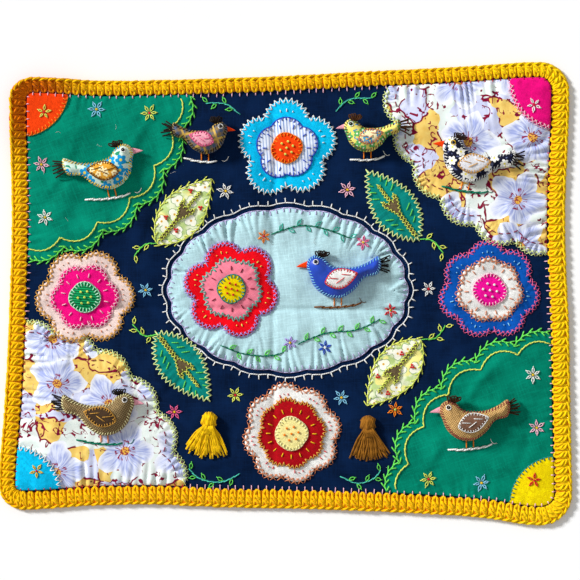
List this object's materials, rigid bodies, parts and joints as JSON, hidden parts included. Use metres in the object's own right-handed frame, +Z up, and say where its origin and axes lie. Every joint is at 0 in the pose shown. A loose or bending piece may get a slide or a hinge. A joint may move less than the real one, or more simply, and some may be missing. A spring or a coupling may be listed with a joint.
{
  "type": "arpillera textile",
  "caption": "Rectangular hand-sewn applique cloth with a thick crocheted border, felt flowers, leaves, stuffed birds and yarn tassels, lying flat face up.",
  "frame": {"origin": "middle of the underside, on the surface the cloth lies on", "axes": "+X along the long side towards the right edge as it is read, +Y towards the top edge, +Z up out of the face"},
  "size_m": [0.4796, 0.3872, 0.0222],
  "materials": {
    "bark_felt": "dark brown felt",
    "blue_check": "turquoise and blue checked cotton",
    "blush_felt": "pinkish white felt",
    "brown_plaid": "brown and ochre plaid cotton",
    "brown_yarn": "golden brown wool yarn, loose",
    "burlap": "coarse brown burlap",
    "butter_calico": "butter yellow calico with small flowers",
    "cobalt_satin": "cobalt satin with a soft sheen",
    "cocoa_felt": "cocoa brown felt",
    "cream_felt": "cream-yellow felt",
    "crimson_felt": "deep red felt",
    "emerald_cotton": "plain-woven emerald cotton",
    "floral_cotton": "cotton printed with loose lilac, yellow and burgundy flowers on cream",
    "green_corduroy": "fine-ribbed green corduroy",
    "ink_calico": "dark ink-blue calico with white sprigs",
    "ivory_cotton": "ivory cotton",
    "magenta_felt": "soft magenta felt",
    "mustard_calico": "mustard calico with small spots",
    "navy_cotton": "plain-woven navy cotton, matt",
    "olive_felt": "olive-brown felt",
    "orange_felt": "soft orange felt",
    "pale_blue_cotton": "thin pale blue-grey cotton, puckered at its sewn edge",
    "pale_green_print": "pale green, yellow and white printed cotton",
    "pearl_check": "pearl and grey checked cotton",
    "pink_felt": "bright pink felt",
    "red_felt": "bright red felt",
    "rose_cotton": "pale pink cotton",
    "royal_cotton": "royal blue cotton",
    "salmon_cotton": "salmon pink cotton",
    "striped_cotton": "cotton with narrow blue and white stripes",
    "teal_cotton": "teal cotton",
    "turquoise_felt": "soft turquoise felt",
    "wheat_cotton": "wheat-coloured coarse cotton",
    "white_felt": "white felt",
    "yellow_crochet": "golden yellow acrylic yarn, crocheted, darker between the stitches",
    "yellow_felt": "soft yellow felt",
    "yellow_yarn": "golden yellow wool yarn, loose"
  },
  "bodies": {
    "root": {"ground_cloth": "navy_cotton", "crochet_border": "yellow_crochet", "medallion": "pale_blue_cotton", "fan_top_left": "emerald_cotton", "fan_top_right": "floral_cotton", "fan_bottom_right": "emerald_cotton", "fan_bottom_left": "floral_cotton", "fan_top_left_handle": "orange_felt", "fan_top_right_handle": "magenta_felt", "fan_bottom_right_handle": "yellow_felt", "fan_bottom_left_handle": "turquoise_felt", "flower_top_petals": "turquoise_felt", "flower_top_inner": "striped_cotton", "flower_top_centre": "orange_felt", "flower_left_petals": "blush_felt", "flower_left_inner": "magenta_felt", "flower_left_centre": "green_corduroy", "flower_right_petals": "royal_cotton", "flower_right_inner": "white_felt", "flower_right_centre": "pink_felt", "flower_bottom_petals": "white_felt", "flower_bottom_inner": "crimson_felt", "flower_bottom_centre": "cream_felt", "flower_middle_petals": "red_felt", "flower_middle_inner": "salmon_cotton", "flower_middle_centre": "yellow_felt", "leaf_top_left": "pale_green_print", "leaf_top_left_rib": "olive_felt", "leaf_top_right": "teal_cotton", "leaf_top_right_rib": "olive_felt", "leaf_bottom_right": "pale_green_print", "leaf_bottom_right_rib": "olive_felt", "leaf_bottom_left": "teal_cotton", "leaf_bottom_left_rib": "olive_felt", "bird_top_left": "blue_check", "bird_top_left_wing": "mustard_calico", "bird_top_left_beak": "rose_cotton", "bird_top_middle_left": "brown_plaid", "bird_top_middle_left_wing": "rose_cotton", "bird_top_middle_left_beak": "rose_cotton", "bird_top_middle_right": "butter_calico", "bird_top_middle_right_wing": "ivory_cotton", "bird_top_middle_right_beak": "rose_cotton", "bird_top_right": "ink_calico", "bird_top_right_wing": "pearl_check", "bird_top_right_beak": "rose_cotton", "bird_medallion": "cobalt_satin", "bird_medallion_wing": "white_felt", "bird_medallion_beak": "rose_cotton", "bird_bottom_left": "burlap", "bird_bottom_left_wing": "bark_felt", "bird_bottom_left_beak": "rose_cotton", "bird_bottom_right": "wheat_cotton", "bird_bottom_right_wing": "cocoa_felt", "bird_bottom_right_beak": "rose_cotton", "tassel_left": "yellow_yarn", "tassel_right": "brown_yarn"}
  },
  "joints": []
}
